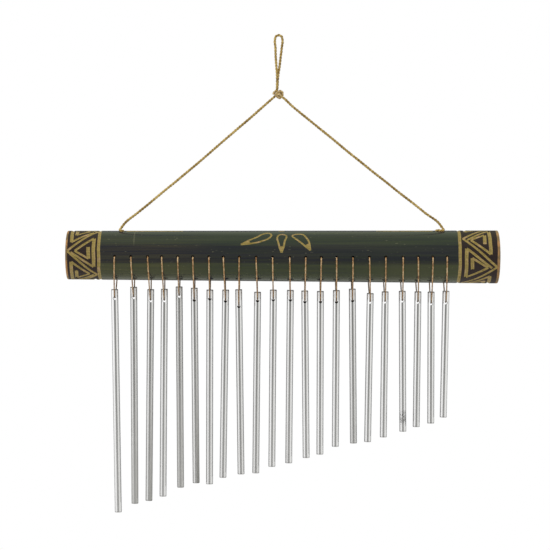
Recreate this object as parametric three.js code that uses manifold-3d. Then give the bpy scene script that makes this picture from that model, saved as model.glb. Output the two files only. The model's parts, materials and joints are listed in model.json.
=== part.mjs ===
import * as THREE from 'three';
import { mergeVertices } from 'three/addons/utils/BufferGeometryUtils.js';
import Module from 'manifold-3d';

// A bar chime: 22 aluminium tubes of falling length hang on waxed thread loops from a
// bamboo bar, and a twisted cord with a finger loop holds the bar.
// Millimetres, +Z up, +X to the right, +Y away from the viewer.
// The origin is the hook point, the inside top of the hanger cord's loop.

// Bamboo bar: one hollow joint of a culm, a little thicker towards its right end
const barLength = 396;
const barDiameterLeft = 44.8;
const barDiameterRight = 48.8;
const barWall = 4;
const barDrop = 202.3;
const barShift = 3.6;
const barTilt = 0.25;
const barSides = 36;

// Holes for the threads, drilled by hand right through the bar at the height of its axis
const tubeCount = 22;
const firstHoleFromLeft = 45;
const holePitch = 14.4;
const holeError = [
  0, 0.5, 1.3, -0.3, 0, -0.7, -0.5, -1.8, -1.7, -0.8, -0.2,
  1, 1.2, 0.9, 0.4, 0.9, 1.4, 1.9, 3.2, 2.5, 1.5, 0,
];
const threadHole = 3;

// Waxed thread loops, tied by hand, so each hangs a little longer, shorter or off to one side
const threadDiameter = 1.3;
const threadBend = 1.3;
const threadDrop = 41;
const dropError = [
  -1.6, -2.5, 0.4, 0.4, -3.9, -0.3, -1.5, 0.5, 5.4, 0, -0.9,
  -0.8, 0.7, 0.7, 0.8, -0.4, 1, 0.7, -0.3, 0.8, 2.1, 1.2,
];
const threadDrift = [
  -1.7, 1, 1.3, 1.1, 0.1, 0.4, 0.1, 1.4, -0.7, 1.1, 0.6,
  0.7, -0.5, -0.3, 0.5, 0.4, 1.8, 0.7, 0.9, 1.5, 0.3, 0.9,
];
const threadKnot = 3.4;
const threadStandoff = 0.9;

// Aluminium tubes, cut in even steps from the longest to the shortest
const tubeDiameter = 6.35;
const tubeWall = 0.9;
const longestTube = 205.6;
const shortestTube = 116.7;
const cutError = [
  0, -1.7, -2.2, -1.6, -3.5, -4.5, -0.9, -2.7, -1.3, -0.4, -0.1,
  0.6, -0.6, 0, -2.1, 0.4, -0.7, 0.8, 0.3, -0.3, 0.5, 0,
];
const tubeHole = 2.8;
const tubeHoleFromTop = 10;
const tubeHoleError = [
  -1.4, -0.1, 0.7, 1.1, -1, 1.5, -1.3, 0.7, 6, -1.7, -0.5,
  -0.6, 0.4, 0, 1, 1.2, -1.5, -0.1, -0.5, 0.1, 1.3, 1.2,
];
const tubeLean = [
  0.95, 0.34, -0.49, -0.39, 0.43, 0.56, -0.12, -0.85, 0.74, -0.6, -0.49,
  -0.56, 0.48, -0.18, -0.4, 0.45, -1.04, -0.75, 0.24, -0.76, -0.17, -1.27,
];
const tubeSides = 14;

// Hanger cord: one closed round of twisted cord, knotted below the finger loop,
// its lower side running from hole to hole inside the bar
const cordDiameter = 2.3;
const cordHole = 4.4;
const cordHoleFromLeft = 51.6;
const cordHoleFromRight = 57.3;
const cordHoleForward = 10;
const cordBulgeLeft = 3.4;
const cordBulgeRight = 7.2;
const cordRise = 6.6;
const knotDrop = 54;
const knotWidth = 8.6;
const knotDepth = 7;
const knotHeight = 8.4;
const loopWidth = 9.3;
const stemShift = 1.3;
const legSag = 1.2;

// Clearances between pieces that touch on the real chime
const gap = 0.3;
const tubeSeatGap = 0.35;
const cordGap = 0.5;

const cordSides = 8;
const holeSides = 8;
const knotSides = 8;

const degrees = THREE.MathUtils.degToRad;
const wasm = await Module();
wasm.setup();

// Turns a closed three.js geometry into a solid that can be joined and cut
function solidOf(geometry) {
  const bare = geometry.clone();
  bare.deleteAttribute('normal');
  bare.deleteAttribute('uv');
  const merged = mergeVertices(bare, 1e-4);
  return new wasm.Manifold(new wasm.Mesh({
    numProp: 3,
    vertProperties: new Float32Array(merged.attributes.position.array),
    triVerts: new Uint32Array(merged.index.array),
  }));
}

function geometryOf(solid) {
  const { vertProperties, triVerts } = solid.getMesh();
  const geometry = new THREE.BufferGeometry();
  geometry.setAttribute('position', new THREE.BufferAttribute(new Float32Array(vertProperties), 3));
  geometry.setIndex(new THREE.BufferAttribute(new Uint32Array(triVerts), 1));
  geometry.computeVertexNormals();
  return geometry;
}

// A route whose rings stand at its own points, close together in the bends and far apart
// on the straights
class Route extends THREE.CatmullRomCurve3 {
  getUtoTmapping(share) {
    return share;
  }
}

// A round cord along a list of points
function cordAlong(points, diameter) {
  const section = new THREE.Shape();
  for (let side = 0; side < cordSides; side++) {
    const turn = (side + 0.5) * 2 * Math.PI / cordSides;
    const corner = [Math.cos(turn) * diameter / 2, Math.sin(turn) * diameter / 2];
    if (side === 0) section.moveTo(...corner);
    else section.lineTo(...corner);
  }
  return new THREE.ExtrudeGeometry(section, {
    steps: points.length - 1,
    extrudePath: new Route(points),
    bevelEnabled: false,
  });
}

// A knot is a rounded lump, as wide, deep and high as its three sizes
function knotAt(centre, width, depth, height) {
  const lump = new THREE.SphereGeometry(0.5, knotSides, knotSides / 2);
  lump.scale(width, depth, height);
  lump.translate(centre.x, centre.y, centre.z);
  return lump;
}

// A hollow turned piece along Z from 0 down to -length, with its radius changing evenly
function hollowTurned(topRadius, bottomRadius, wall, length, sides) {
  const profile = [
    new THREE.Vector2(topRadius - wall, 0),
    new THREE.Vector2(bottomRadius - wall, -length),
    new THREE.Vector2(bottomRadius, -length),
    new THREE.Vector2(topRadius, 0),
    new THREE.Vector2(topRadius - wall, 0),
  ];
  const turned = new THREE.LatheGeometry(profile, sides);
  turned.rotateX(Math.PI / 2);
  return turned;
}

// A drill along Y, or turned from Y towards Z by an angle
function drill(diameter, length, position, turn = 0) {
  const bit = new THREE.CylinderGeometry(diameter / 2, diameter / 2, length, holeSides);
  bit.rotateX(turn);
  bit.translate(position.x, position.y, position.z);
  return solidOf(bit);
}

const materials = {
  bamboo: () => new THREE.MeshStandardMaterial({ color: 0x45493a, roughness: 0.3, metalness: 0 }),
  aluminium: () => new THREE.MeshStandardMaterial({ color: 0xd6d6d8, roughness: 0.25, metalness: 1 }),
  thread: () => new THREE.MeshStandardMaterial({ color: 0x9a6a42, roughness: 0.55, metalness: 0 }),
  cord: () => new THREE.MeshStandardMaterial({ color: 0x8a7a3c, roughness: 0.7, metalness: 0 }),
};

function piece(name, geometry, material) {
  const mesh = new THREE.Mesh(geometry, material());
  mesh.material.flatShading = true;
  mesh.name = name;
  return mesh;
}

// Positions along the bar are measured from its left end, and its group's origin is the
// middle of its axis
const alongBar = fromLeft => fromLeft - barLength / 2;
const barRadiusAt = x => THREE.MathUtils.lerp(
  barDiameterLeft, barDiameterRight, x / barLength + 0.5) / 2;

const rightCordHole = barLength - cordHoleFromRight;
const cordHoles = [alongBar(cordHoleFromLeft), alongBar(rightCordHole)];
const threadHoleX = [];
for (let i = 0; i < tubeCount; i++) {
  const error = holeError[i % holeError.length];
  threadHoleX.push(alongBar(firstHoleFromLeft + i * holePitch + error));
}

// The bar, with its bore open at both ends
function bambooBar() {
  const culm = hollowTurned(barDiameterLeft / 2, barDiameterRight / 2, barWall, barLength, barSides);
  culm.rotateY(-Math.PI / 2);
  culm.translate(-barLength / 2, 0, 0);
  let bar = solidOf(culm);
  for (const x of threadHoleX) {
    const through = 2 * barRadiusAt(x) + barWall;
    bar = bar.subtract(drill(threadHole, through, new THREE.Vector3(x, 0, 0)));
  }
  for (const x of cordHoles) {
    const forward = degrees(cordHoleForward);
    const middle = barRadiusAt(x) - barWall / 2;
    const place = new THREE.Vector3(x, -middle * Math.sin(forward), middle * Math.cos(forward));
    bar = bar.subtract(drill(cordHole, 2 * barWall, place, Math.PI / 2 + forward));
  }
  return piece('bamboo_bar', geometryOf(bar), materials.bamboo);
}

// One side of a thread loop, from inside the bar's hole, out and down over the bar to the
// point where it leaves the bar, and on to the tube's hole. side is -1 in front, 1 behind.
function strand(side, barRadius, drop) {
  const point = (out, up) => new THREE.Vector3(0, side * out, up);
  const wrap = barRadius + gap + threadDiameter / 2;
  const cornerOut = tubeDiameter / 2 + threadStandoff;
  const leave = Math.PI / 2 - Math.atan2(cornerOut, drop)
    - Math.acos(wrap / Math.hypot(cornerOut, drop));
  const onBar = angle => point(wrap * Math.cos(angle), -wrap * Math.sin(angle));
  const bendOut = wrap - threadBend;
  const halfway = threadBend * Math.SQRT1_2;
  const first = Math.asin(threadBend / wrap);
  const leaving = onBar(leave);
  const corner = point(cornerOut, -drop);
  const rise = leaving.clone().sub(corner).normalize();
  const inward = point(-1, 0);
  const cut = threadBend * Math.tan(rise.angleTo(inward.clone().negate()) / 2);
  return [
    point(bendOut, 0),
    point(bendOut + halfway, halfway - threadBend),
    onBar(first),
    onBar((first + leave) / 2),
    leaving,
    corner.clone().addScaledVector(rise, cut),
    corner.clone().addScaledVector(rise.clone().add(inward), cut / 4),
    corner.clone().addScaledVector(inward, cut),
  ];
}

// A whole loop in its own plane: from the knot behind the bar through both holes, down the
// front, through the tube, and up behind to the knot again
function threadLoop(barRadius, drop) {
  const front = strand(-1, barRadius, drop);
  const back = strand(1, barRadius, drop);
  const onBack = angle => {
    const wrap = barRadius + gap + threadDiameter / 2;
    return new THREE.Vector3(0, wrap * Math.cos(angle), -wrap * Math.sin(angle));
  };
  const knotAngle = (threadBend + threadKnot) / barRadius;
  const apart = 0.75 * threadDiameter / barRadius;
  const route = [
    onBack(knotAngle - apart),
    back[2],
    back[1],
    back[0],
    ...front,
    ...back.slice(4).reverse(),
    onBack(knotAngle + apart),
  ];
  const knotOut = barRadius + gap + threadKnot / 2;
  const centre = new THREE.Vector3(
    0, knotOut * Math.cos(knotAngle), -knotOut * Math.sin(knotAngle));
  const knot = solidOf(knotAt(centre, threadKnot, threadKnot, threadKnot));
  return solidOf(cordAlong(route, threadDiameter)).add(knot);
}

// A tube with its cross-hole, its origin where the thread's middle lies in that hole
function tube(length, holeFromTop) {
  const holeBelow = tubeHole / 2 - threadDiameter / 2 - tubeSeatGap;
  const shell = hollowTurned(tubeDiameter / 2, tubeDiameter / 2, tubeWall, length, tubeSides);
  shell.translate(0, 0, holeFromTop - holeBelow);
  const hole = new THREE.Vector3(0, 0, -holeBelow);
  return solidOf(shell).subtract(drill(tubeHole, 2 * tubeDiameter, hole));
}

// A thread and its tube hang together: the thread's group turns about its hole in the bar,
// and the tube's group turns about the thread
function hangingTube(i) {
  const number = String(i + 1).padStart(2, '0');
  const x = threadHoleX[i];
  const drop = threadDrop + dropError[i % dropError.length];
  const drift = Math.atan(threadDrift[i % threadDrift.length] / threadDrop);
  const lean = degrees(tubeLean[i % tubeLean.length]);
  const step = (longestTube - shortestTube) / Math.max(tubeCount - 1, 1);
  const length = longestTube - i * step + cutError[i % cutError.length];
  const holeFromTop = tubeHoleFromTop + tubeHoleError[i % tubeHoleError.length];

  const hanging = new THREE.Group();
  hanging.position.set(x, 0, 0);
  hanging.rotation.y = -drift - degrees(barTilt);
  const loop = geometryOf(threadLoop(barRadiusAt(x), drop));
  hanging.add(piece(`thread_${number}`, loop, materials.thread));

  const swinging = new THREE.Group();
  swinging.position.set(0, 0, -drop);
  swinging.rotation.y = drift - lean;
  swinging.add(piece(`tube_${number}`, geometryOf(tube(length, holeFromTop)), materials.aluminium));
  hanging.add(swinging);
  return hanging;
}

// The bar's end of one leg: down past the hole, back to it along the top of the bar, in
// through the hole and inwards along the bore. side is -1 at the left hole, 1 at the right.
function cordThroughHole(side, x, bulge, barFrame) {
  const forward = degrees(cordHoleForward);
  const radius = barRadiusAt(x);
  const point = (outward, height) => barFrame.localToWorld(new THREE.Vector3(
    x + side * outward, -(radius + height) * Math.sin(forward), (radius + height) * Math.cos(forward)));
  const over = cordDiameter / 2 + cordGap;
  const insideTurn = barWall + cordDiameter / 2 + gap;
  return [
    point(bulge - 0.62 * cordRise, cordRise),
    point(bulge - 0.2 * cordRise, 0.62 * cordRise),
    point(bulge, 0.39 * cordRise),
    point(bulge - cordDiameter / 4, over + 0.1),
    point(bulge * 0.6, over),
    point(cordHole / 3, over * 0.85),
    point(0.1, -0.1 * barWall),
    point(-0.3, -barWall),
    point(-cordDiameter, -insideTurn - 1),
    point(-2.5 * cordDiameter, -insideTurn - 1.4),
  ];
}

function hangerCord(barFrame) {
  const leftEnd = cordThroughHole(-1, cordHoles[0], cordBulgeLeft, barFrame);
  const rightEnd = cordThroughHole(1, cordHoles[1], cordBulgeRight, barFrame);
  const knot = new THREE.Vector3(0, 0, -knotDrop);
  const leg = (end, side) => {
    const start = knot.clone().add(new THREE.Vector3(side * knotWidth / 4, 0, -knotHeight / 4));
    const points = [];
    const count = 10;
    for (let i = 0; i < count; i++) {
      const share = i / count;
      const point = start.clone().lerp(end[0], share);
      point.z -= legSag * 4 * share * (1 - share);
      points.push(point);
    }
    return points;
  };
  const left = cordAlong([...leg(leftEnd, -1), ...leftEnd], cordDiameter);

  const inside = [];
  const insideCount = 16;
  const from = rightEnd.at(-1);
  const to = leftEnd.at(-1);
  for (let i = 1; i <= insideCount; i++) inside.push(from.clone().lerp(to, i / insideCount));
  const joined = to.clone().lerp(from, -0.002);
  const right = cordAlong([...leg(rightEnd, 1), ...rightEnd, ...inside.slice(0, -1), joined], cordDiameter);

  // Two strands rise from the knot, one in front of the other, and open into the loop
  const half = (loopWidth - cordDiameter) / 2;
  const top = cordDiameter / 2;
  const aside = (cordDiameter + cordGap) / 2;
  const at = (sign, middle, out, behind, height) => new THREE.Vector3(
    middle + sign * out, sign * behind, height);
  const side = sign => [
    at(sign, -stemShift, 0.4, aside, -knotDrop),
    at(sign, -stemShift, 0.2, aside, -knotDrop + knotHeight),
    at(sign, -stemShift * 0.9, 0.3, aside, -knotDrop * 0.68),
    at(sign, -stemShift * 0.3, half * 0.36, aside * 0.8, -knotDrop * 0.52),
    at(sign, 0, half * 0.66, aside * 0.5, -knotDrop * 0.34),
    at(sign, 0, half * 0.9, aside * 0.3, -knotDrop * 0.18),
    at(sign, 0, half, aside * 0.1, -half * 0.9),
    at(sign, 0, half * 0.72, 0, top - half * 0.3),
  ];
  const loop = cordAlong([...side(-1), new THREE.Vector3(0, 0, top), ...side(1).reverse()], cordDiameter);
  const lump = solidOf(knotAt(knot, knotWidth, knotDepth, knotHeight));
  const cord = solidOf(left).add(solidOf(right)).add(solidOf(loop)).add(lump);
  return piece('hanger_cord', geometryOf(cord), materials.cord);
}

const chime = new THREE.Group();
const barGroup = new THREE.Group();
barGroup.position.set(barShift, 0, -barDrop);
barGroup.rotation.y = degrees(barTilt);
barGroup.add(bambooBar());
for (let i = 0; i < tubeCount; i++) barGroup.add(hangingTube(i));
chime.add(barGroup);
chime.updateMatrixWorld(true);
chime.add(hangerCord(barGroup));

export default chime;
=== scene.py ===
"""A bar chime: 22 aluminium tubes on waxed thread loops, under a carved bamboo bar that a
twisted cord holds. Metres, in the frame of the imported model."""

import json
import math
import random

import bmesh
import bpy
import numpy as np
from mathutils import Matrix, Vector, noise
from mathutils.geometry import interpolate_bezier


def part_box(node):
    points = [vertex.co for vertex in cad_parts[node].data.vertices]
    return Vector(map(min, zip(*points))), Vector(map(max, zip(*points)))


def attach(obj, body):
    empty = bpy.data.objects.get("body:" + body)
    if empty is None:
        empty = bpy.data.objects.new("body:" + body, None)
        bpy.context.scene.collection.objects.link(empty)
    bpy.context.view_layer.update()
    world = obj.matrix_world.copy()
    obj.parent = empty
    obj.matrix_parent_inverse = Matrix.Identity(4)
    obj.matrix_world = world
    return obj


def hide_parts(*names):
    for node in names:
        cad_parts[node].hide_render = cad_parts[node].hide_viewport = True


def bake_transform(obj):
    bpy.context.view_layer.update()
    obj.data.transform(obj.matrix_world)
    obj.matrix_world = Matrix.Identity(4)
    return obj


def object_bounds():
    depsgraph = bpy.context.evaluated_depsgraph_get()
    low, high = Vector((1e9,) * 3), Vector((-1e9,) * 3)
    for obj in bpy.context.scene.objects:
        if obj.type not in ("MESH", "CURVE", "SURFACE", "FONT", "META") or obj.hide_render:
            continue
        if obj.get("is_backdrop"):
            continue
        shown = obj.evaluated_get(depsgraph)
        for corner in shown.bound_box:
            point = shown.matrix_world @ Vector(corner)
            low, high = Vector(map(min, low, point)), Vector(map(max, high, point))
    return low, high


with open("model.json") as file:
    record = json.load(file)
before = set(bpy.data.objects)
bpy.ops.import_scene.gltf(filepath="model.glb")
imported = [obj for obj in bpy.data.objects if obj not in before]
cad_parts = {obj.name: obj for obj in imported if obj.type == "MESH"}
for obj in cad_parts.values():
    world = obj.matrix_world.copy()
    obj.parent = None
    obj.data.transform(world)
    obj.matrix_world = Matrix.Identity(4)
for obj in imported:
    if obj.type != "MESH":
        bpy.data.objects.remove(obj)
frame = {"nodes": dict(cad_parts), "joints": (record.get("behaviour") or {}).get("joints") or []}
cad_low, cad_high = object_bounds()
mm = 0.001
scene = bpy.context.scene
joints = {joint["name"]: joint for joint in frame["joints"]}

# The camera stands level and far back, at half the height of the chime.
camera_distance = 1.7
camera_across = -0.0034
camera_height = -0.2198
seen_width = 0.5069


def new_object(name, data):
    """An object in the scene, at its origin."""
    made = bpy.data.objects.new(name, data)
    scene.collection.objects.link(made)
    return made


camera = new_object("camera", bpy.data.cameras.new("camera"))
camera.data.lens = camera.data.sensor_width * camera_distance / seen_width
camera.location = (camera_across, -camera_distance, camera_height)
camera.rotation_euler = (math.pi / 2, 0, 0)
scene.camera = camera

# The hanger is one round of two-ply twisted cord in olive and gold yarn. Its legs go through
# the top of the bar, its lower side runs along the bore, and a knot ties off the finger loop.
cord_width = 2.3 * mm
cord_pitch = 5.6 * mm
cord_hole = 4.4 * mm
cord_hole_from_left = 51.6 * mm
cord_hole_from_right = 57.3 * mm
cord_hole_forward = math.radians(10)
cord_bulge_left = 3.4 * mm
cord_bulge_right = 7.2 * mm
cord_rise = 6.6 * mm
knot_drop = 54 * mm
knot_width = 8.6 * mm
knot_height = 8.4 * mm
loop_width = 9.3 * mm
stem_shift = 1.3 * mm
leg_sag = 1.2 * mm
leg_waver = 0.25 * mm
leg_below_knot = 0.2 * mm
leg_step = 0.7 * mm
soft_gap = 0.3 * mm
cord_ply = 0.35 * cord_width
cord_unevenness = 0.12
cord_step = 0.6 * mm
end_step = 0.5 * mm

bar_length = 396 * mm
bar_radius_left = 22.4 * mm
bar_radius_right = 24.4 * mm
bar_wall = 4 * mm
bar_across = 3.6 * mm
bar_height = -202.3 * mm
bar_tilt = math.radians(0.25)
bar_place = Matrix.Translation((bar_across, 0, bar_height)) @ Matrix.Rotation(bar_tilt, 4, "Y")


def bar_radius(x):
    return bar_radius_left + (bar_radius_right - bar_radius_left) * (x / bar_length + 0.5)


def on_bar(x, forward, out):
    """The point that lies out above the bar's skin, turned forward from its top."""
    reach = bar_radius(x) + out
    return bar_place @ Vector((x, -reach * math.sin(forward), reach * math.cos(forward)))


def cord_through_hole(side, x, bulge):
    """Down past the hole, back to it along the bar, in through it and inwards along the bore."""
    over = 0.4 * cord_width
    inside = bar_wall + cord_width / 2 + soft_gap
    route = [
        (bulge - 0.62 * cord_rise, cord_rise, 0),
        (bulge - 0.33 * cord_rise, 0.62 * cord_rise, 2),
        (bulge - 0.1 * cord_rise, 0.3 * cord_rise, 4),
        (bulge - 0.05 * cord_width, 1.25 * over, 6),
        (bulge - 0.35 * cord_width, over, 7),
        (0.55 * bulge, 0.9 * over, 6),
        (cord_hole / 3, 0.7 * over, 3),
        (0.1 * mm, -0.1 * bar_wall, 0),
        (-0.3 * mm, -bar_wall, 0),
        (-cord_width, -inside - 1 * mm, 0),
        (-2.5 * cord_width, -inside - 1.4 * mm, 0),
    ]
    return [
        on_bar(x + side * outward, cord_hole_forward + math.radians(aside), height)
        for outward, height, aside in route
    ]


def leg(end, side, count=12):
    """One leg of the hanger, from the knot down to the bar, with a little sag."""
    start = Vector((side * knot_width / 6, 0, -knot_drop - leg_below_knot - side * leg_step))
    hand = random.Random(5 + side)
    points = []
    for i in range(count):
        share = i / count
        point = start.lerp(end, share)
        point.z -= leg_sag * 4 * share * (1 - share) + hand.uniform(-leg_waver, leg_waver) * min(i, 1)
        points.append(point)
    return points


def loop_side(side):
    """Half of the finger loop, up from the knot. The halves pass one in front of the other."""
    half = (loop_width - cord_width) / 2
    aside = cord_width / 2 + soft_gap
    top = cord_width / 2
    route = [
        (-stem_shift, 0.4 * mm, aside, -knot_drop),
        (-stem_shift, 0.2 * mm, aside, -knot_drop + knot_height),
        (-stem_shift * 0.8, half * 0.13, aside, -knot_drop * 0.68),
        (-stem_shift * 0.55, half * 0.4, aside * 0.8, -knot_drop * 0.52),
        (-stem_shift * 0.35, half * 0.66, aside * 0.5, -knot_drop * 0.34),
        (-stem_shift * 0.05, half * 0.85, aside * 0.3, -knot_drop * 0.18),
        (0, half, aside * 0.1, -half * 0.9),
        (0, half * 0.72, 0, top - half * 0.3),
    ]
    return [Vector((middle + side * out, side * behind, z)) for middle, out, behind, z in route]


def smooth_line(points, spacing):
    """A smooth line through points that lie close in the bends and far apart elsewhere."""
    slopes = []
    for before, point, after in zip([points[0], *points], points, [*points[1:], points[-1]]):
        behind = point - before
        ahead = after - point
        if behind.length and ahead.length:
            slope = behind / behind.length * ahead.length + ahead / ahead.length * behind.length
            slopes.append(slope / (behind.length + ahead.length))
        else:
            slopes.append((behind + ahead).normalized())
    line = [points[0]]
    for point, after, slope, slope_after in zip(points, points[1:], slopes, slopes[1:]):
        third = (after - point).length / 3
        count = max(2, math.ceil(3 * third / spacing) + 1)
        handle, handle_after = point + slope * third, after - slope_after * third
        line.extend(interpolate_bezier(point, handle, handle_after, after, count)[1:])
    return line


def twisted(line, flat, plies, width, pitch):
    """The lines of plies laid round a line. flat is square to the plane that it bends in."""
    radius = 0.2 * width
    laid = [[] for _ in range(plies)]
    travelled = 0
    for before, point, after in zip([line[0], *line], line, [*line[1:], line[-1]]):
        travelled += (point - before).length
        ahead = (after - before).normalized()
        side = ahead.cross(flat).normalized()
        across = side.cross(ahead)
        for ply, laid_line in enumerate(laid):
            turn = 2 * math.pi * (travelled / pitch + ply / plies)
            laid_line.append(point + radius * (math.cos(turn) * side + math.sin(turn) * across))
    return laid


def note(mesh, **measures):
    """Writes measures at each point of the mesh, for its material to read."""
    for name, values in measures.items():
        mesh.attributes.new(name, "FLOAT", "POINT").data.foreach_set("value", values)


def strand_mesh(name, lines, radius, material, unevenness):
    """Round strands along the lines. The mesh knows how far along and around each point is."""
    curve = bpy.data.curves.new(name, "CURVE")
    curve.dimensions = "3D"
    curve.bevel_depth = radius
    curve.bevel_resolution = 2
    curve.use_fill_caps = True
    for line in lines:
        spline = curve.splines.new("POLY")
        spline.points.add(len(line) - 1)
        for place, point in zip(spline.points, line):
            place.co = (*point, 1)
            place.radius = 1 + unevenness * noise.noise(point / (4 * radius))
    drawn = bpy.data.objects.new(name, curve)
    mesh = bpy.data.meshes.new_from_object(drawn)
    bpy.data.objects.remove(drawn)

    # The ends' caps come first in the mesh, as rings of their own
    sides = len(mesh.vertices) // (sum(len(line) for line in lines) + 2 * len(lines))
    along = [0] * (2 * sides * len(lines))
    for line in lines:
        travelled = 0
        for before, point in zip([line[0], *line], line):
            travelled += (point - before).length
            along.extend([travelled] * sides)
    around = [side / sides for side in range(sides)] * (len(along) // sides)
    note(mesh, along=along, around=around)
    mesh.shade_smooth()
    mesh.materials.append(material)
    return mesh


def new_piece(name, mesh, body):
    """An object with the mesh, which rides on the body and takes its finish from the slot."""
    piece = new_object(name, mesh)
    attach(piece, body)
    return piece


class Value:
    """An output of a shader node. Sums on it add Math nodes to the same material."""

    def __init__(self, nodes, output):
        self.nodes = nodes
        self.output = output

    def maths(self, operation, first, second=0):
        return self.nodes.add("ShaderNodeMath", {"operation": operation}, {0: first, 1: second})

    def __add__(self, other):
        return self.maths("ADD", self, other)

    def __radd__(self, other):
        return self.maths("ADD", other, self)

    def __sub__(self, other):
        return self.maths("SUBTRACT", self, other)

    def __rsub__(self, other):
        return self.maths("SUBTRACT", other, self)

    def __mul__(self, other):
        return self.maths("MULTIPLY", self, other)

    def __rmul__(self, other):
        return self.maths("MULTIPLY", other, self)

    def __truediv__(self, other):
        return self.maths("DIVIDE", self, other)

    def __rtruediv__(self, other):
        return self.maths("DIVIDE", other, self)

    def __abs__(self):
        return self.maths("ABSOLUTE", self)

    def root(self):
        return self.maths("SQRT", self)

    def sine(self):
        return self.maths("SINE", self)


class Nodes:
    """The nodes of a material or of the world."""

    def __init__(self, owner):
        owner.use_nodes = True
        self.tree = owner.node_tree

    def fill(self, node, inputs):
        for name, value in inputs.items():
            if isinstance(value, Value):
                self.tree.links.new(value.output, node.inputs[name])
            else:
                node.inputs[name].default_value = value

    def add(self, kind, settings, inputs, output=0):
        """A node of that kind: its settings come first, then its inputs."""
        node = self.tree.nodes.new(kind)
        for name, value in settings.items():
            if name == "stops":
                for _ in value[2:]:
                    node.color_ramp.elements.new(1)
                for stop, (place, tint) in zip(node.color_ramp.elements, value):
                    stop.position = place
                    stop.color = tint
            else:
                setattr(node, name, value)
        self.fill(node, inputs)
        return Value(self, node.outputs[output])

    def mixed(self, share, first, second):
        inputs = {0: share, 6: first, 7: second}
        return self.add("ShaderNodeMix", {"data_type": "RGBA"}, inputs, 2)

    def rising(self, value, low, high):
        """0 below low, 1 above high, and a smooth rise between."""
        inputs = {"Value": value, "From Min": low, "From Max": high}
        return self.add("ShaderNodeMapRange", {"interpolation_type": "SMOOTHSTEP"}, inputs)

    def place(self, stretch=(1, 1, 1)):
        """Where a point lies on the object, stretched to draw a pattern out."""
        place = self.add("ShaderNodeTexCoord", {}, {}, "Object")
        return self.add("ShaderNodeMapping", {}, {"Vector": place, "Scale": stretch})

    def split(self, vector):
        """The three parts of a vector."""
        node = self.add("ShaderNodeSeparateXYZ", {}, {0: vector}).output.node
        return [Value(self, output) for output in node.outputs]

    def noise(self, waves, detail=2):
        """Noise with so many waves a metre along each axis of the object."""
        inputs = {"Vector": self.place(waves), "Scale": 1, "Detail": detail}
        return self.add("ShaderNodeTexNoise", {}, inputs, "Fac")

    def attribute(self, name):
        return self.add("ShaderNodeAttribute", {"attribute_name": name}, {}, "Fac")

    def bump(self, height, depth):
        return self.add("ShaderNodeBump", {}, {"Height": height, "Distance": depth})


def colour(red, green, blue):
    """A colour as it looks on a screen, from 0 to 255, as the shader wants it."""
    screen = [part / 255 for part in (red, green, blue)]
    return (*[part / 12.92 if part < 0.04045 else ((part + 0.055) / 1.055) ** 2.4 for part in screen], 1)


def new_material(name, constants):
    """A material, its nodes and its shader, with what is the same all over set on the shader."""
    material = bpy.data.materials.new(name)
    nodes = Nodes(material)
    shader = nodes.tree.nodes["Principled BSDF"]
    nodes.fill(shader, constants)
    return material, nodes, shader


fibre_grooves = 4
# A dull brown that darkens threads low down, and paints shade where they go into the tubes' holes
darkening_and_shade_tint = colour(84, 74, 66)


def yarn(name, dark, middle, light, turns, constants):
    """Twisted fibres: fine grooves wind round each ply with painted shade down in them, and the dye is
    darker in flecks and patches.
    """
    material, nodes, shader = new_material(name, constants)
    winding = nodes.attribute("around") + nodes.attribute("along") * turns
    groove = (winding * (2 * math.pi * fibre_grooves)).sine() * 0.5 + 0.5
    fleck = nodes.noise((650, 650, 650), 3)
    patch = nodes.noise((120, 120, 120))
    # The groove's share darkens the colour down in the grooves, as painted shade
    shade = nodes.rising(fleck + patch * 0.5 + groove * 0.18, 0.55, 1.1)
    stops = ((0, dark), (0.5, middle), (1, light))
    tint = nodes.add("ShaderNodeValToRGB", {"stops": stops}, {"Fac": shade})
    fuzz = nodes.noise((2600, 2600, 2600))
    # The thread turns to the dull brown low down, and near the tube's hole as painted shade
    nodes.fill(shader, {
        "Base Color": nodes.mixed(nodes.attribute("soiled"), tint, darkening_and_shade_tint),
        "Normal": nodes.bump(groove * 0.7 + fuzz * 0.6, 0.12 * mm),
    })
    return material


cord_fibre_turns = 500
cord_fuzz = {"Roughness": 0.8, "Sheen Weight": 0.3, "Sheen Roughness": 0.4}
cord_yarn = yarn(
    "cord_yarn", colour(112, 86, 36), colour(172, 140, 66), colour(218, 192, 118),
    cord_fibre_turns, cord_fuzz,
)

back = Vector((0, 1, 0))
bore_points = 16
left_hole = cord_hole_from_left - bar_length / 2
right_hole = bar_length / 2 - cord_hole_from_right
left_end = cord_through_hole(-1, left_hole, cord_bulge_left)
right_end = cord_through_hole(1, right_hole, cord_bulge_right)
bore_run = [right_end[-1].lerp(left_end[-1], i / bore_points) for i in range(1, bore_points)]
hanger_route = [
    *reversed(left_end),
    *reversed(leg(left_end[0], -1)),
    *loop_side(-1),
    Vector((0, 0, cord_width / 2)),
    *reversed(loop_side(1)),
    *leg(right_end[0], 1),
    *right_end,
    *bore_run,
]
hanger_line = smooth_line(hanger_route, cord_step)
hanger_plies = twisted(hanger_line, back, 2, cord_width, cord_pitch)
hanger_mesh = strand_mesh("hanger", hanger_plies, cord_ply, cord_yarn, cord_unevenness)
hanger = new_object("hanger", hanger_mesh)
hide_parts("hanger_cord")

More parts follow.
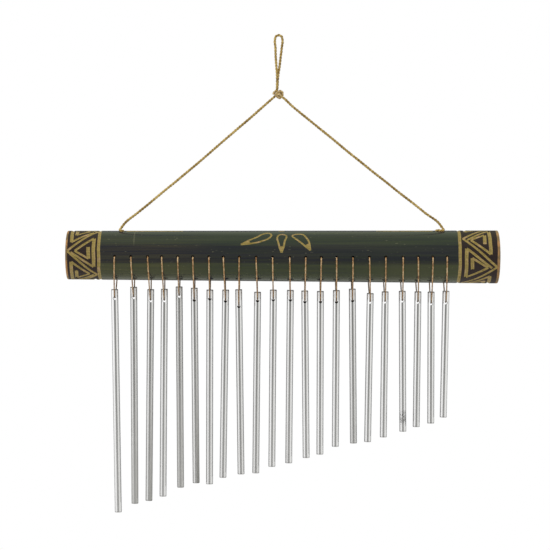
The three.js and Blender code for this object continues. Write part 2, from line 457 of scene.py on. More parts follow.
hole_height = on_bar(left_hole, cord_hole_forward, 0).z
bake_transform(hanger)

# The knot that ties off the finger loop is of the same cord, drawn tight and rubbed lighter, with
# one short tail. Each of its turns has its middle, its half sizes, how far it leans and how far
# it stands forward, in millimetres as seen from the front.
knot_turns = [
    ((1.2, 0.7), (2.4, 2.9), 0.35, 0.6),
    ((-0.5, 0.3), (1.3, 2.5), -0.3, 1.3),
    ((0.4, -1), (1.9, 1.5), 0.5, 1),
    ((1.9, 1.5), (0.6, 0.9), 0.2, -1.2),
    ((-1.9, 0.4), (0.8, 1.3), 0.5, 0.9),
]
knot_tail = [(-0.4, -1.6, 2), (-1.9, -2.1, 3.6), (-3.9, -2, 2.7), (-5, -1.8, 0.4)]
turn_depth = 1.4
turn_depth_from = 0.8
tight_ply = 0.33 * cord_width


def knot_turn(middle, half_size, lean, forward, count=28):
    """A round turn of the knot, whose two sides pass behind and in front of the others."""
    turned = Matrix.Rotation(lean, 3, "Y")
    line = []
    for i in range(count + 1):
        angle = 2 * math.pi * i / count
        across, up = half_size[0] * math.cos(angle), half_size[1] * math.sin(angle)
        point = turned @ Vector((across, turn_depth * math.cos(angle + turn_depth_from) - forward, up))
        line.append(Vector((0, 0, -knot_drop)) + mm * (point + Vector((middle[0], 0, middle[1]))))
    return line


tail = smooth_line([Vector((x * mm, y * mm, z * mm - knot_drop)) for x, y, z in knot_tail], end_step)
knot_plies = []
for line in [*[knot_turn(*turn) for turn in knot_turns], tail]:
    knot_plies += twisted(line, -back, 2, cord_width, cord_pitch)
knot_yarn = yarn(
    "knot_yarn", colour(146, 116, 70), colour(198, 168, 108), colour(232, 208, 152),
    cord_fibre_turns, cord_fuzz,
)
knot_mesh = strand_mesh("hanger_knot", knot_plies, tight_ply, knot_yarn, cord_unevenness)
hanger_knot = new_piece("hanger_knot", knot_mesh, "hanger")


def line_length(line):
    return sum((after - point).length for point, after in zip(line, line[1:]))


on_bar(left_hole, cord_hole_forward, 0)
line_length(hanger_line)

# Each tube hangs on a loop of three-ply waxed thread, threaded through the bar and the tube
# and knotted behind the bar.
tube_count = 22
thread_width = 1.3 * mm
thread_pitch = 3.2 * mm
thread_bend = 1 * mm
thread_sag_left = 2.1 * mm
thread_sag_right = 1.1 * mm
sag_eases_from = 14
thread_on_lip = 0.75 * mm
thread_rise = 0.7 * mm
thread_standoff = 0.9 * mm
thread_ply = 0.3 * thread_width
thread_unevenness = 0.08
thread_step = 0.45 * mm
tube_radius = 3.175 * mm

# Its knot lies below the hole, and two short ends come out of it
thread_knot = 3.4 * mm
thread_knot_size = (2.5 * mm, 2.3 * mm, 1.2 * mm)
thread_end_aside = 1.2 * mm
thread_end_bend = 0.9 * mm
thread_end_drop = 2 * mm

# How strongly the thread is darker low down, and how strongly painted shade darkens it where it
# goes into the tube's hole: how high above the tube's hole each begins, and over what height it grows
low_darkening = (0.3, 20 * mm, 6 * mm)
hole_shade = (0.45, 2.4 * mm, 1.4 * mm)

thread_fibre_turns = 900
wax = yarn(
    "waxed_thread", colour(122, 82, 45), colour(196, 148, 93), colour(236, 208, 162),
    thread_fibre_turns, {"Roughness": 0.38, "Specular IOR Level": 0.7},
)

# About how wide and how high the bare line of three lobes is, before it gets its size
lobes_width = 5.2
lobes_height = 4.6


def knot_line(centre, right, up, front, width, height, depth, count=32):
    """A simple overhand knot drawn tight, as a closed line with three lobes."""
    line = []
    for i in range(count + 1):
        turn = 2 * math.pi * i / count
        x = (math.sin(turn) + 2 * math.sin(2 * turn)) / lobes_width * width
        z = (math.cos(turn) - 2 * math.cos(2 * turn)) / lobes_height * height
        y = -math.sin(3 * turn) / 2 * depth
        line.append(centre + x * right + z * up + y * front)
    return line


def strand_points(wrap, drop, sag):
    """One side of a loop as pairs of out and up from the middle of the bar. It rests on the
    lower edge of the hole, the sag below that middle."""
    corner = Vector((tube_radius + thread_standoff, -drop))
    leave = math.pi / 2 - math.atan2(corner.x, drop) - math.acos(wrap / corner.length)
    first = math.asin((sag + thread_bend) / wrap)
    halfway = thread_bend * math.sqrt(0.5)
    around = [
        wrap * Vector((math.cos(angle), -math.sin(angle)))
        for angle in (first, (first + leave) / 2, leave)
    ]
    rise = (around[-1] - corner).normalized()
    inward = Vector((-1, 0))
    cut = thread_bend * math.tan(rise.angle(-inward) / 2)
    return [
        Vector((wrap - bar_wall, thread_on_lip - sag)),
        Vector((wrap - thread_bend, -sag)),
        Vector((wrap - thread_bend + halfway, halfway - thread_bend - sag)),
        *around,
        corner + rise * cut,
        corner + (rise + inward) * cut / 4,
        corner + inward * cut,
    ]


thread_holes = []
hole_drops = []
for number in range(1, tube_count + 1):
    hole = Vector(joints[f"swing_{number:02d}"]["pos_m"])
    seat = Vector(joints[f"rock_{number:02d}"]["pos_m"])
    thread_holes.append((bar_place.inverted() @ hole).x)
    radius = bar_radius(thread_holes[-1])
    drop = (seat - hole).length - thread_rise
    down = (seat - hole).normalized()
    wrap = radius + soft_gap + thread_width / 2
    eased = max(0, number - sag_eases_from) / (tube_count - sag_eases_from)
    sag = thread_sag_left + (thread_sag_right - thread_sag_left) * eased
    hole_drops.append(sag - thread_on_lip)
    points = strand_points(wrap, drop, sag)
    knot_angle = (thread_bend + thread_knot) / radius
    apart = 0.75 * thread_width / radius
    knot_out, below_out, above_out = [
        math.cos(angle) * back + math.sin(angle) * down
        for angle in (knot_angle, knot_angle + apart, knot_angle - apart)
    ]
    in_front = [hole - point.x * back - point.y * down for point in points]
    at_back = [hole + point.x * back - point.y * down for point in points]
    thread_route = [
        hole + wrap * above_out,
        *reversed(at_back[:4]),
        *in_front,
        *reversed(at_back[5:]),
        hole + wrap * below_out,
    ]
    thread_line = smooth_line(thread_route, thread_step)
    flat = down.cross(back)
    knot_centre = hole + (radius + soft_gap + 0.45 * thread_knot) * knot_out
    plies = [
        *twisted(thread_line, flat, 3, thread_width, thread_pitch),
        knot_line(knot_centre, flat, knot_out.cross(flat), knot_out, *thread_knot_size),
    ]
    for aside in (-thread_end_aside, thread_end_aside):
        bend = knot_centre + (aside * flat + thread_end_bend * down)
        tip = knot_centre + (1.25 * aside * flat + thread_end_drop * down)
        plies.append(smooth_line([knot_centre, bend, tip], end_step))
    thread_mesh = strand_mesh(f"thread_loop_{number:02d}", plies, thread_ply, wax, thread_unevenness)

    above = np.array([drop - (vertex.co - hole).dot(down) for vertex in thread_mesh.vertices])
    # Darker low down, and painted shade where the thread goes into the tube's hole
    soiled = sum(
        strength * np.clip((highest - above) / growth, 0, 1)
        for strength, highest, growth in (low_darkening, hole_shade)
    )
    note(thread_mesh, soiled=soiled)
    thread = new_piece(f"thread_loop_{number:02d}", thread_mesh, f"tie_{number:02d}")
    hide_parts(f"thread_{number:02d}")
    line_length(thread_line)

# The bar is one joint of bamboo culm under dark green-black lacquer. Bands of nested
# triangles near its ends and a flower on top are cut through to the pale wood, and its ends
# are sanded bare. Threads and cord go through holes drilled by hand.
carve_share = 0.22
rim_round = 0.9 * mm
around_count = 96
flat_radius = (bar_radius_left + bar_radius_right) / 2
cell_along = 4.5 * mm
thread_hole = 2.7 * mm
awl_tip = 0.8 * mm
seam_row = 2 * math.pi * flat_radius / around_count
half_length = bar_length / 2

# A band, from the end of the bar inwards. A zigzag goes round it, with three corners on the
# rim and three by the border; the angles say how far up from the bar's front a corner lies.
# In each corner a triangle winds inwards, to the side that handed says. The shares say how
# long it is by the rim, how far it spreads, and where its line starts.
left_band = {
    "end": -1, "rim": 1.8 * mm, "corner": 28.5 * mm, "border": 30.5 * mm,
    "rim_angle": 9, "corner_angle": 68, "handed": 1, "rim_share": 0.96, "spread": 0.94,
    "start": (0.12, -0.02),
}
right_band = {
    "end": 1, "rim": 2.6 * mm, "corner": 34 * mm, "border": 36.8 * mm,
    "rim_angle": -23, "corner_angle": 42, "handed": -1, "rim_share": 0.88, "spread": 0.88,
    "start": (0.15, 0.06),
}
band_line = 1.75 * mm
band_line_uneven = (0.95, 1.1)
wider_upright = 0.7
corner_slip = 1.5
border_line = 2.8 * mm
plain_strip = 8
shortest_stroke = 7 * mm

# The wound triangle after its start: each point's share of the way from tip to base, and its
# share of half the base to one side
winding = [(0.9, -0.68), (0.9, 0.62), (0.26, 0.03), (0.73, -0.28), (0.72, 0.2)]

# The flower's three front petals as closed outlines, in millimetres along the bar from its
# middle and up from the middle of its front. The first point is the petal's tip. A wider cut
# there goes towards the point that follows the outline. The back petals mirror these.
petals = [
    ([(-38.2, 10.6), (-30.7, 15.2), (-23.7, 19.2), (-17.7, 24), (-13.3, 25.8), (-10.1, 22.4),
      (-12.1, 18.2), (-17.7, 14.8), (-26.7, 12.1)], (-30, 13.2)),
    ([(-1, 3), (-2.8, 7), (-4, 12.8), (-4.9, 19), (-2.7, 22.7), (0.5, 23),
      (3.3, 21.4), (1.8, 13.6), (0.4, 7)], (-1, 9)),
    ([(25.3, 5.2), (21.9, 7.9), (17.9, 11.4), (13.3, 15.6), (8.7, 21.4), (12.8, 23.6),
      (18.1, 23.2), (21.3, 18.5), (23.8, 12.8)], (22, 11)),
]
flower_heart = (-0.9, 33)
heart_radius = 2.6
heart_sides = 10
petal_line = 1.65 * mm
tip_line = 2.3 * mm
tip_from = 0.3
petal_step = 2.5 * mm

# A worn line on the bar's top, inwards from each hole of the hanger, and a faint rub across
# the bar's front
worn_from = 3 * mm
worn_to = 55 * mm
worn_line = 3 * mm
worn_angle = 77
worn_drift = 2
rub_place = -132 * mm

# The skin is made in stretches that end where nothing is carved, and sways a little
left_band_end = 36 * mm
right_band_end = 42 * mm
flower_ends = (-48 * mm, 36 * mm)
hole_margin = 2.6 * mm
same_point = 0.004 * mm
shortest_edge = 0.01 * mm
carved_from = 0.03 * mm
sway = 0.5 * mm
sway_length = 25 * mm
sway_stops = 4 * mm
bore_chamfer = 0.5 * mm
bore_join = 5 * mm


def sheet_point(along, degrees):
    """A point of the bar's skin laid out flat."""
    return Vector((along, math.radians(degrees) * flat_radius, 0))


def strokes_through(points, width, upright=0):
    """A gouge's strokes from each point to the next: where they start and end, and how wide.
    They can be wider the more upright they run."""
    strokes = []
    for start, end in zip(points, points[1:]):
        steep = abs((end - start).normalized().y)
        strokes.append((start, end, width * (1 + upright * steep**4)))
    return strokes


def kept_off_seam(strokes):
    """The strokes cut short at the plain strip behind the bar where its pattern closes."""
    limit = sheet_point(0, 180 - plain_strip).y
    kept = []
    for start, end, width in strokes:
        span = end.y - start.y
        shares = [(bound - start.y) / span for bound in (-limit, limit)]
        first, last = max(0, min(shares)), min(1, max(shares))
        if (last - first) * (end - start).length > shortest_stroke:
            kept.append((start.lerp(end, first), start.lerp(end, last), width))
    return kept


def band_strokes(band, hand):
    """The zigzag, and a triangle that winds inwards in each of its corners."""
    third = 120
    rim, corner = [band["end"] * (half_length - band[name]) for name in ("rim", "corner")]
    rim_angles = [band["rim_angle"] + step * third for step in range(-3, 4)]
    corner_angles = [band["corner_angle"] + step * third for step in range(-3, 4)]
    strokes = []
    for tip, tip_angles, base, base_angles, reach in (
        (rim, rim_angles, corner, corner_angles, 1),
        (corner, corner_angles, rim, rim_angles, band["rim_share"]),
    ):
        for tip_angle in tip_angles:
            above = min([angle for angle in base_angles if angle > tip_angle], default=None)
            if above is None:
                continue
            middle = above - third / 2
            points = []
            for share, aside in [band["start"], *winding]:
                share *= reach
                off_middle = band["spread"] * band["handed"] * aside * third / 2
                angle = tip_angle + share * (middle - tip_angle) + off_middle
                angle += hand.uniform(-corner_slip, corner_slip)
                points.append(sheet_point(tip + share * (base - tip), angle))
            width = band_line * hand.uniform(*band_line_uneven)
            strokes += strokes_through(points, width, wider_upright)
            if tip == rim:
                for base_angle in (above, above - third):
                    edge = [sheet_point(tip, tip_angle), sheet_point(base, base_angle)]
                    strokes += strokes_through(edge, band_line, wider_upright)
    return kept_off_seam(strokes)


def flower_strokes():
    """Six petals round a small heart, on the front and the back of the bar's top."""
    heart = Vector((*flower_heart, 0)) * mm
    strokes = []
    for side in (1, -1):
        for outline, inner in petals:
            points = [Vector((x, y, 0)) * mm - heart for x, y in [*outline, outline[0], inner]]
            points = [heart + Vector((point.x, side * point.y, 0)) for point in points]
            strokes += strokes_through(smooth_line(points[:-1], petal_step), petal_line)
            strokes += strokes_through([points[-2].lerp(points[-1], tip_from), points[-1]], tip_line)
    angles = [math.radians(360 / heart_sides * i) for i in range(heart_sides + 1)]
    spoke = Vector((heart_radius * mm, 0, 0))
    around = [heart + Matrix.Rotation(angle, 3, "Z") @ spoke for angle in angles]
    return strokes + strokes_through(around, petal_line)


def score(sheet, faces, point, across):
    """Cuts the faces along the line through the point that is square to across."""
    edges = [edge for face in faces for edge in face.edges]
    corners = [corner for face in faces for corner in face.verts]
    parts = dict.fromkeys([*faces, *edges, *corners])
    cut = bmesh.ops.bisect_plane(sheet, geom=list(parts), dist=1e-7, plane_co=point, plane_no=across)
    return [part for part in cut["geom"] if isinstance(part, bmesh.types.BMFace)]


def score_stroke(sheet, start, end, width, limit):
    """Cuts the outline and the middle line of a stroke into the sheet."""
    ahead = (end - start).normalized()
    across = Vector((-ahead.y, ahead.x, 0))
    middle = (start + end) / 2
    reach = (end - start).length / 2 + cell_along / 2
    aside = width / 2 + cell_along / 2 + seam_row / 2
    near = []
    for face in sheet.faces:
        away = face.calc_center_median() - middle
        if abs(away.dot(ahead)) < reach and abs(away.dot(across)) < aside:
            if abs(away.y + middle.y) < limit:
                near.append(face)
    for offset in (0, -width / 2, width / 2):
        near = score(sheet, near, start + offset * across, across)
    for tip in (start, end):
        near = score(sheet, near, tip, ahead)


def groove_depth(points, strokes):
    """How deep the gouge goes at each flat point. A stroke is deepest along its middle, by a
    share of its width."""
    depth = np.zeros(len(points))
    for start, end, width in strokes:
        line = np.array(end - start)[:2]
        length = np.linalg.norm(line)
        offset = points - np.array(start)[:2]
        share = offset @ line / length**2
        away = np.abs(offset[:, 0] * line[1] - offset[:, 1] * line[0]) / length
        within = (share > -0.001) & (share < 1.001)
        slope = np.clip(1 - away / (width / 2), 0, 1)
        depth = np.maximum(depth, np.where(within, slope * carve_share * width, 0))
    return depth


def drilled(name, solid, bits, materials):
    """The mesh of a solid once the bits have gone through it. It uses both up."""
    made = []
    for part, shape in ((name, solid), (f"{name}_bits", bits)):
        mesh = bpy.data.meshes.new(part)
        shape.to_mesh(mesh)
        shape.free()
        for material in materials:
            mesh.materials.append(material)
        made.append(new_object(part, mesh))
    cut = made[0].modifiers.new("holes", "BOOLEAN")
    cut.object = made[1]
    cut.solver = "EXACT"
    evaluated = made[0].evaluated_get(bpy.context.evaluated_depsgraph_get())
    mesh = bpy.data.meshes.new_from_object(evaluated)
    for part in made:
        bpy.data.objects.remove(part)
    return mesh


# The finishes, numbered as in the mesh's list of materials. The lacquer is the first, at 0.
band_ground_and_hole_shade, carved_wood, bare_wood = 1, 2, 3
hand = random.Random(7)
strokes = [*band_strokes(left_band, hand), *band_strokes(right_band, hand), *flower_strokes()]
for side, hole in ((1, left_hole), (-1, right_hole)):
    start = sheet_point(hole + side * worn_from, worn_angle)
    end = sheet_point(hole + side * worn_to, worn_angle + worn_drift)
    strokes += strokes_through([start, end], worn_line)
rings = []
for band in (left_band, right_band):
    border = band["end"] * (half_length - band["border"])
    rings.append((sheet_point(border, -180), sheet_point(border, 180), border_line))

# Each stretch of the sheet is cut on its own, and joined to the next where nothing is carved
sheet_end = half_length - rim_round
stretches = [
    -sheet_end, -half_length + left_band_end, *flower_ends, half_length - right_band_end, sheet_end,
]
carved = bpy.data.meshes.new("carved")
sheet = bmesh.new()
for first, last in zip(stretches, stretches[1:]):
    stretch = bmesh.new()
    cells = max(1, round((last - first) / cell_along))
    bmesh.ops.create_grid(stretch, x_segments=cells, y_segments=around_count, size=1)
    flat_size = Vector(((last - first) / 2, math.pi * flat_radius, 1))
    bmesh.ops.scale(stretch, vec=flat_size, verts=stretch.verts)
    bmesh.ops.translate(stretch, vec=((first + last) / 2, 0, 0), verts=stretch.verts)
    straight_cuts = []
    for hole in [*thread_holes, left_hole, right_hole]:
        straight_cuts += [hole - hole_margin, hole + hole_margin]
    for band in (left_band, right_band):
        straight_cuts.append(band["end"] * (half_length - band["rim"]))
    for x in straight_cuts:
        if first < x < last:
            score(stretch, stretch.faces, Vector((x, 0, 0)), Vector((1, 0, 0)))
    for start, end, width in rings:
        if first < start.x < last:
            score_stroke(stretch, start, end, width, 2 * math.pi * flat_radius)
    for start, end, width in strokes:
        if first < (start.x + end.x) / 2 < last:
            score_stroke(stretch, start, end, width, math.pi * flat_radius - seam_row)
    stretch.to_mesh(carved)
    stretch.free()
    sheet.from_mesh(carved)
bpy.data.meshes.remove(carved)
bmesh.ops.remove_doubles(sheet, verts=sheet.verts, dist=same_point)
bmesh.ops.dissolve_degenerate(sheet, dist=shortest_edge, edges=sheet.edges)

middles = np.array([face.calc_center_median()[:2] for face in sheet.faces])
for face, depth in zip(sheet.faces, groove_depth(middles, strokes + rings)):
    along = face.calc_center_median().x
    band = left_band if along < 0 else right_band
    from_end = half_length - abs(along)
    if from_end < band["rim"]:
        face.material_index = bare_wood
    elif depth > carved_from:
        face.material_index = carved_wood
    elif from_end < band["border"]:
        face.material_index = band_ground_and_hole_shade

flat_points = np.array([vertex.co[:2] for vertex in sheet.verts])
for vertex, depth in zip(sheet.verts, groove_depth(flat_points, strokes + rings)):
    x, around = vertex.co.x, vertex.co.y / flat_radius
    wave = Vector((x / sway_length, 2 * math.cos(around), 2 * math.sin(around)))
    from_end = sheet_end - abs(x)
    x += sway * noise.noise(wave) * min(1, from_end / sway_stops)
    reach = bar_radius(x) - depth
    vertex.co = (x, -reach * math.cos(around), reach * math.sin(around))
bmesh.ops.remove_doubles(sheet, verts=sheet.verts, dist=same_point)

# Both rims are rounded over, and the end faces lead into the bore
open_edges = [edge for edge in sheet.edges if edge.is_boundary]
bore_ends = []
for side in (-1, 1):
    edges = [edge for edge in open_edges if side * edge.verts[0].co.x > 0]
    outer = bar_radius(side * half_length)
    steps = [
        (half_length - rim_round * (1 - math.sin(turn)), outer - rim_round * (1 - math.cos(turn)))
        for turn in (math.pi / 6, math.pi / 3, math.pi / 2)
    ]
    steps += [
        (half_length, outer - bar_wall + bore_chamfer),
        (half_length - bore_chamfer, outer - bar_wall),
        (bore_join, bar_radius(side * bore_join) - bar_wall),
    ]
    for along, reach in steps:
        grown = bmesh.ops.extrude_edge_only(sheet, edges=edges)["geom"]
        edges = [part for part in grown if isinstance(part, bmesh.types.BMEdge) and part.is_boundary]
        for part in grown:
            if isinstance(part, bmesh.types.BMVert):
                scale = reach / math.hypot(part.co.y, part.co.z)
                part.co = (side * along, part.co.y * scale, part.co.z * scale)
            elif isinstance(part, bmesh.types.BMFace):
                part.material_index = bare_wood
    bore_ends += edges
joined = bmesh.ops.bridge_loops(sheet, edges=bore_ends)
for face in joined["faces"]:
    face.material_index = bare_wood
bmesh.ops.recalc_face_normals(sheet, faces=sheet.faces)



def add_bit(bits, place, turn, out, tip, wide, depth, segments=24):
    """A bit that points at the place: turned about the X axis, with its middle so far out."""
    stands = Matrix.Translation(place) @ Matrix.Rotation(turn, 4, "X") @ Matrix.Translation((0, 0, out))
    bmesh.ops.create_cone(
        bits, cap_ends=True, segments=segments, radius1=tip, radius2=wide, depth=depth, matrix=stands)


bits = bmesh.new()
taper = thread_hole / 2 - awl_tip
for hole, hole_drop in zip(thread_holes, hole_drops):
    for turn in (math.pi / 2, -math.pi / 2):
        add_bit(
            bits, (hole, 0, -hole_drop), turn, bar_radius(hole) - bar_wall / 2,
            awl_tip - taper / 2, thread_hole / 2 + taper / 2, 2 * bar_wall, 20)
# The walls of the thread holes take the dark band ground, as painted shade in the holes
for face in bits.faces:
    face.material_index = band_ground_and_hole_shade
for hole in (left_hole, right_hole):
    add_bit(
        bits, (hole, 0, 0), cord_hole_forward, bar_radius(hole) - bar_wall / 2,
        cord_hole / 2, cord_hole / 2, 2 * bar_wall)


def lacquer():
    """Dark stain that lets the fibres show as streaks along the bar, under a glossy coat. It has
    painted light on its lower side towards the ends, and a few pale nicks."""
    black, olive, green = colour(36, 34, 51), colour(56, 51, 51), colour(43, 46, 48)
    # The middle one of these is a lighter olive, for painted light on the lower side
    paler, painted_light_olive, nicked = colour(66, 66, 60), colour(84, 78, 62), colour(160, 152, 124)
    yellow_green = (0.75, 1, 0.2, 1)
    material, nodes, shader = new_material("lacquer", {"Specular Tint": yellow_green})
    broad = nodes.noise((9, 26, 26))
    streaks = nodes.noise((4, 260, 260))
    fibres = nodes.noise((14, 900, 900), 3)
    fine = nodes.noise((40, 2600, 2600))
    along, behind, up = nodes.split(nodes.place())
    tint = nodes.mixed(nodes.rising(broad - along * 0.9, 0.35, 0.75), green, olive)
    tint = nodes.mixed(nodes.rising(fibres, 0.3, 0.7), tint, black)
    tint = nodes.mixed(nodes.rising(streaks, 0.48, 0.7) * 0.28, tint, paler)
    ends = nodes.rising(abs(along), 40 * mm, 120 * mm)
    # Painted light: the lower side is lighter towards the ends, for light reflected up from below
    painted_lower_light = ends * nodes.rising(bar_height - up, 2.7 * mm, 10.7 * mm)
    tint = nodes.mixed(painted_lower_light * 0.3, tint, painted_light_olive)
    rub = nodes.rising(-1 * abs(along - rub_place), -0.9 * mm, -0.3 * mm)
    rub *= nodes.rising(up - bar_height, 7.3 * mm, 14.3 * mm) * nodes.rising(-1 * behind, 0, 4 * mm)
    nicks = nodes.rising(nodes.noise((260, 1700, 1700), 1), 0.74, 0.79)
    tint = nodes.mixed(nicks * 0.5 + rub * 0.14, tint, nicked)
    nodes.fill(shader, {
        "Base Color": tint,
        "Roughness": fibres * 0.1 + nicks * 0.2 + 0.1,
        "Normal": nodes.bump(fibres * 0.5 + fine * 0.25, 0.05 * mm),
    })
    return material


def stained_ground_and_hole_shade():
    """The scraped and burnt ground between the band's lines, darker and duller. The walls of the
    thread holes take it too, as painted shade in the holes.
    """
    material, nodes, shader = new_material("stained_ground_and_hole_shade", {"Specular IOR Level": 0.25})
    fibres = nodes.noise((60, 1200, 1200), 3)
    nodes.fill(shader, {
        "Base Color": nodes.mixed(fibres, colour(26, 20, 22), colour(58, 44, 38)),
        "Roughness": fibres * 0.2 + 0.42,
        "Normal": nodes.bump(fibres, 0.1 * mm),
    })
    return material


def gouged_wood():
    """Pale wood in the gouge's cuts, yellow under the thin coat that ran into them."""
    material, nodes, shader = new_material("gouged_wood", {"Roughness": 0.42})
    fibres = nodes.noise((90, 1500, 1500), 3)
    patches = nodes.noise((260, 260, 260))
    tint = nodes.mixed(nodes.rising(fibres, 0.3, 0.7), colour(130, 112, 48), colour(168, 146, 78))
    tint = nodes.mixed(nodes.rising(patches, 0.5, 0.75) * 0.6, tint, colour(186, 152, 118))
    nodes.fill(shader, {"Base Color": tint, "Normal": nodes.bump(fibres, 0.12 * mm)})
    return material


def sanded_wood():
    """Bare bamboo: dark fibre ends in pale flesh, and an orange edge where stain soaked in."""
    material, nodes, shader = new_material("sanded_wood", {"Roughness": 0.6})
    dots = nodes.noise((30, 1500, 1500))
    flesh = nodes.mixed(nodes.rising(dots, 0.5, 0.66), colour(214, 184, 132), colour(150, 108, 62))
    place = nodes.place()
    across = nodes.add("ShaderNodeVectorMath", {"operation": "MULTIPLY_ADD"}, {
        0: place, 1: (0, 1, 1), 2: (0, 0, -bar_height)})
    reach = nodes.add("ShaderNodeVectorMath", {"operation": "LENGTH"}, {0: across}, "Value")
    along = nodes.split(place)[0]
    under = reach - along * ((bar_radius_right - bar_radius_left) / bar_length) - flat_radius
    soaked = nodes.rising(under, -1.6 * mm, -0.5 * mm)
    patches = nodes.rising(nodes.noise((90, 90, 90)), 0.42, 0.6)
    stain = nodes.mixed(patches, colour(112, 88, 48), colour(172, 124, 70))
    nodes.fill(shader, {
        "Base Color": nodes.mixed(soaked * 0.9, flesh, stain),
        "Normal": nodes.bump(dots, 0.1 * mm),
    })
    return material


bar_mesh = drilled("bar", sheet, bits, [lacquer(), stained_ground_and_hole_shade(), gouged_wood(), sanded_wood()])
bar_mesh.transform(bar_place)
bar_mesh.shade_smooth()
bar_mesh.set_sharp_from_angle(angle=math.radians(14))
bar = new_piece("bar", bar_mesh, "bar")
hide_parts("bamboo_bar")

# The chimes are bright drawn aluminium tubes, 6.35 mm across. A pipe cutter rolled their
# ends in, and a hole near the top of each takes its thread.
tube_wall = 0.9 * mm
tube_hole = 3.1 * mm
tube_hole_below_thread = 0.9 * mm
back_hole = 2.5 * mm
back_hole_rise = 1.15 * mm
tube_steps = 40
bore_margin = 0.02 * mm
end_ring = 1 * mm

# How dull handling has left these tubes at their top and at their bottom, and then the others
dullness = {
    1: (0.05, 0.45), 2: (0.35, 0.95), 3: (0.25, 0.6), 4: (0.1, 0.4), 5: (0.75, 1), 6: (0.15, 0.6),
    7: (0.1, 0.4), 8: (0.1, 0.5), 9: (0.15, 0.5), 10: (0.15, 0.6), 16: (0.3, 0.8), 22: (0, 0.2),
}
usual_dullness = (0, 0.3)
# How much painted shade darkens one side towards the bottom, as added dullness: the right side, or the
# left one if below 0
painted_side_shade = {2: 0.2, 3: 0.7, 6: 0.9, 12: -0.4}
side_sharpness = 3
# The oxide film grows denser down the tube, and the pipe cutter darkened the upper ends most
film_bottom = 0.32
film_length = 200 * mm
cut_length = 0.8 * mm
cut_top = 0.8
cut_bottom = 0.35
smudge_place = (114.8 * mm, -3 * mm, -351 * mm)
# Seen from the front these are clear through their hole. In the others the bits that drilled
# the two walls didn't quite meet.
clear_holes = (1, 2, 3, 4, 5, 17, 18, 19, 20, 21, 22)

# How a cut end turns in: how far inside the skin and how far from the end, out to in
rolled_end = [(0, 1.3), (0.03, 0.7), (0.13, 0.15), (0.32, 0), (0.86, 0), (1.06, 0.12), (0.9, 0.7)]


def tube_solid(length, hole_from_top):
    """A tube that hangs down from the origin, spun from its wall's outline."""
    top = [(tube_radius - inside * mm, -down * mm) for inside, down in rolled_end]
    bottom = [(reach, -length - z) for reach, z in top]
    beside_hole = [-hole_from_top + tube_hole, -hole_from_top - tube_hole]
    inner = tube_radius - tube_wall
    outline = [
        *reversed(top), *[(tube_radius, z) for z in beside_hole],
        *bottom, *[(inner, z) for z in reversed(beside_hole)],
    ]
    solid = bmesh.new()
    corners = [solid.verts.new((reach, 0, z)) for reach, z in outline]
    wall = [solid.edges.new(pair) for pair in zip(corners, [*corners[1:], corners[0]])]
    bmesh.ops.spin(
        solid, geom=[*corners, *wall], cent=(0, 0, 0), axis=(0, 0, 1), angle=2 * math.pi,
        steps=tube_steps, use_merge=True)
    bmesh.ops.recalc_face_normals(solid, faces=solid.faces)
    for face in solid.faces:
        middle = face.calc_center_median()
        face.material_index = int(math.hypot(middle.x, middle.y) < inner + bore_margin)
    return solid


def wear(mesh, number, top, axis, length):
    """Writes into the tube's mesh how dulled each point is, with painted shade down one side added
    to that, and how filmed over and dark from the cutter it is.
    """
    places = np.array([vertex.co - top for vertex in mesh.vertices])
    below = -places @ np.array(axis)
    share = below / length
    right = places @ np.array(back.cross(axis)) / tube_radius
    dull_top, dull_bottom = dullness.get(number, usual_dullness)
    more = painted_side_shade.get(number, 0)
    on_side = np.clip(side_sharpness * math.copysign(1, more) * right, 0, 1)
    dull = dull_top + (dull_bottom - dull_top) * share
    # Painted shade down one side, growing towards the bottom, added to the dullness
    dull += abs(more) * on_side * np.sqrt(np.clip(share, 0, 1))
    film = film_bottom * below / film_length
    cut = np.where(below < cut_length, cut_top, np.where(below > length - cut_length, cut_bottom, 0))
    note(mesh, dull=dull, film=film, cut=cut)


def drawn_aluminium():
    """Lines from the die run along the tube, and handling has dulled it in patches."""
    material, nodes, shader = new_material("drawn_aluminium", {})
    # The dullness read here also holds painted shade down one side of some tubes
    dull = nodes.attribute("dull")
    lines = nodes.noise((2000, 2000, 6))
    patches = nodes.noise((160, 160, 30), 3)
    shade = nodes.rising(patches, 0.35, 0.75) * 0.08 + dull * 0.62 + lines * 0.04
    away = nodes.add("ShaderNodeVectorMath", {"operation": "DISTANCE"}, {
        0: nodes.place(), 1: smudge_place}, "Value")
    spots = nodes.rising(nodes.noise((900, 900, 900)), 0.42, 0.58)
    smudge = nodes.rising(-1 * away, -8 * mm, -3 * mm) * spots
    cut = nodes.attribute("cut")
    clean = nodes.mixed(shade, colour(253, 253, 253), colour(172, 171, 167))
    nodes.fill(shader, {
        "Base Color": nodes.mixed(smudge * 0.8 + cut, clean, colour(84, 82, 80)),
        "Metallic": 1 - nodes.attribute("film"),
        "Roughness": patches * 0.02 + dull * dull * 0.4 + smudge * 0.2 + cut * 0.16 + 0.02,
        "Normal": nodes.bump(lines, 0.003 * mm),
    })
    return material


def dull_bore():
    """The inside of a tube as the mill left it, grey and rough."""
    material, nodes, shader = new_material("dull_bore", {"Metallic": 1, "Roughness": 0.5})
    patches = nodes.noise((400, 400, 60))
    tint = nodes.mixed(patches, colour(140, 138, 134), colour(180, 178, 174))
    nodes.fill(shader, {"Base Color": tint})
    return material


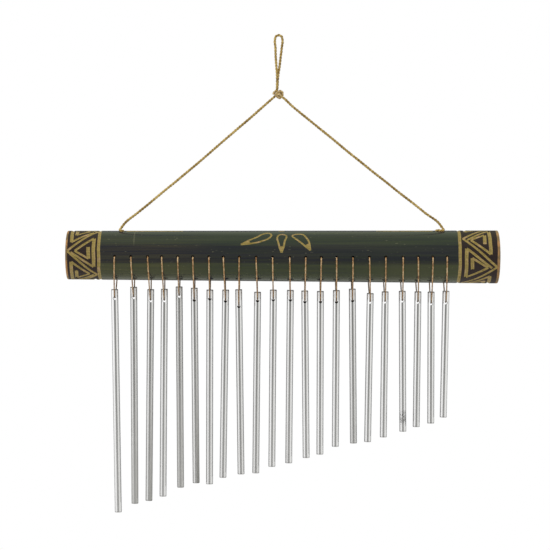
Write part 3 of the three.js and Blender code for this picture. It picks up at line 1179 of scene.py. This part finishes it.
aluminium = [drawn_aluminium(), dull_bore()]
for number in range(1, tube_count + 1):
    node = f"tube_{number:02d}"
    corners = [vertex.co for vertex in frame["nodes"][node].data.vertices]
    low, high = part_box(node)
    top, bottom = [
        sum(ring, Vector()) / len(ring) for ring in (
            [corner for corner in corners if high.z - corner.z < end_ring],
            [corner for corner in corners if corner.z - low.z < end_ring],
        )
    ]
    axis = (top - bottom).normalized()
    length = (top - bottom).length
    seat = Vector(joints[f"rock_{number:02d}"]["pos_m"])
    hole_from_top = (top - seat).dot(axis) - thread_rise + tube_hole_below_thread
    bit = bmesh.new()
    near_wall = (tube_hole, 0)
    far_wall = near_wall if number in clear_holes else (back_hole, back_hole_rise)
    for y, (width, rise) in ((-tube_radius, near_wall), (tube_radius, far_wall)):
        add_bit(bit, (0, y, rise - hole_from_top), math.pi / 2, 0, width / 2, width / 2, tube_radius)
    tube_mesh = drilled(node, tube_solid(length, hole_from_top), bit, aluminium)
    turn = Matrix((back.cross(axis), back, axis)).transposed().to_4x4()
    tube_mesh.transform(Matrix.Translation(top) @ turn)
    tube_mesh.shade_smooth()
    tube_mesh.set_sharp_from_angle(angle=math.radians(35))
    wear(tube_mesh, number, top, axis, length)
    tube = new_piece(f"chime_tube_{number:02d}", tube_mesh, f"chime_{number:02d}")
    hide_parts(node)

# The studio is white all round but for the dark beside the camera and a dim wall behind,
# which the tubes and the lacquer mirror. A small pale table stands below the chime.
floor_drop = 0.3
floor_radius = 0.76
floor_seen = 0.35
studio_light = 0.75

world = bpy.data.worlds.new("studio")
scene.world = world
nodes = Nodes(world)
background = nodes.tree.nodes["Background"]
ahead = nodes.add("ShaderNodeTexCoord", {}, {}, "Generated")
x, y, z = nodes.split(ahead)
level = (x * x + y * y).root()
toward = y / level
camera_side = nodes.rising(-1 * toward, 0.79, 0.9) * nodes.rising(-1 * z, -0.86, -0.7)
far_side = nodes.rising(toward, 0.28, 0.52)
right_side = nodes.rising(x / level, 0.2, 0.8)
mirrored = nodes.mixed(right_side, (1, 1, 1, 1), (0.86, 0.86, 0.84, 1))
mirrored = nodes.mixed(far_side, mirrored, (0.2, 0.2, 0.2, 1))
mirrored = nodes.mixed(nodes.rising(abs(z), 0.35, 0.8), mirrored, (0.62, 0.69, 0.5, 1))
mirrored = nodes.mixed(camera_side, mirrored, (0.23, 0.23, 0.22, 1))
seen, seen_through, glossy = [
    nodes.add("ShaderNodeLightPath", {}, {}, f"Is {kind} Ray")
    for kind in ("Camera", "Transmission", "Glossy")
]
lighting = nodes.mixed(glossy, (studio_light, studio_light, studio_light, 1), mirrored)
nodes.fill(background, {"Color": nodes.mixed(seen + seen_through, lighting, (1, 1, 1, 1))})

softbox = new_object("softbox", bpy.data.lights.new("softbox", "AREA"))
softbox.data.shape = "SQUARE"
softbox.data.size = 1.6
softbox.data.energy = 12
softbox.visible_glossy = False
softbox.location = (-0.5, -0.7, 1.3)
softbox_faces = Vector((0.5, 0.7, -1.5))
softbox.rotation_euler = softbox_faces.to_track_quat("-Z", "Y").to_euler()

table = bmesh.new()
bmesh.ops.create_circle(table, cap_ends=True, segments=96, radius=floor_radius)
bmesh.ops.translate(table, vec=(0, 0, cad_low.z - floor_drop), verts=table.verts)
floor_mesh = bpy.data.meshes.new("floor")
table.to_mesh(floor_mesh)
table.free()
floor = new_object("floor", floor_mesh)
floor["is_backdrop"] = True

pale = {"Base Color": colour(236, 235, 232), "Roughness": 0.9}
floor_finish, nodes, shader = new_material("pale_floor", pale)
place = nodes.place((1, 1, 0))
from_middle = nodes.add("ShaderNodeVectorMath", {"operation": "LENGTH"}, {0: place}, "Value")
seen = nodes.add("ShaderNodeLightPath", {}, {}, "Is Camera Ray")
white = nodes.add("ShaderNodeEmission", {}, {"Color": (1, 1, 1, 1), "Strength": 1})
faded = nodes.add("ShaderNodeMixShader", {}, {
    0: nodes.rising(from_middle, floor_seen, floor_radius * 0.95) * seen,
    1: Value(nodes, shader.outputs["BSDF"]),
    2: white,
})
nodes.fill(nodes.tree.nodes["Material Output"], {"Surface": faded})
floor_mesh.materials.append(floor_finish)

scene.view_settings.view_transform = "Standard"

low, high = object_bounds()
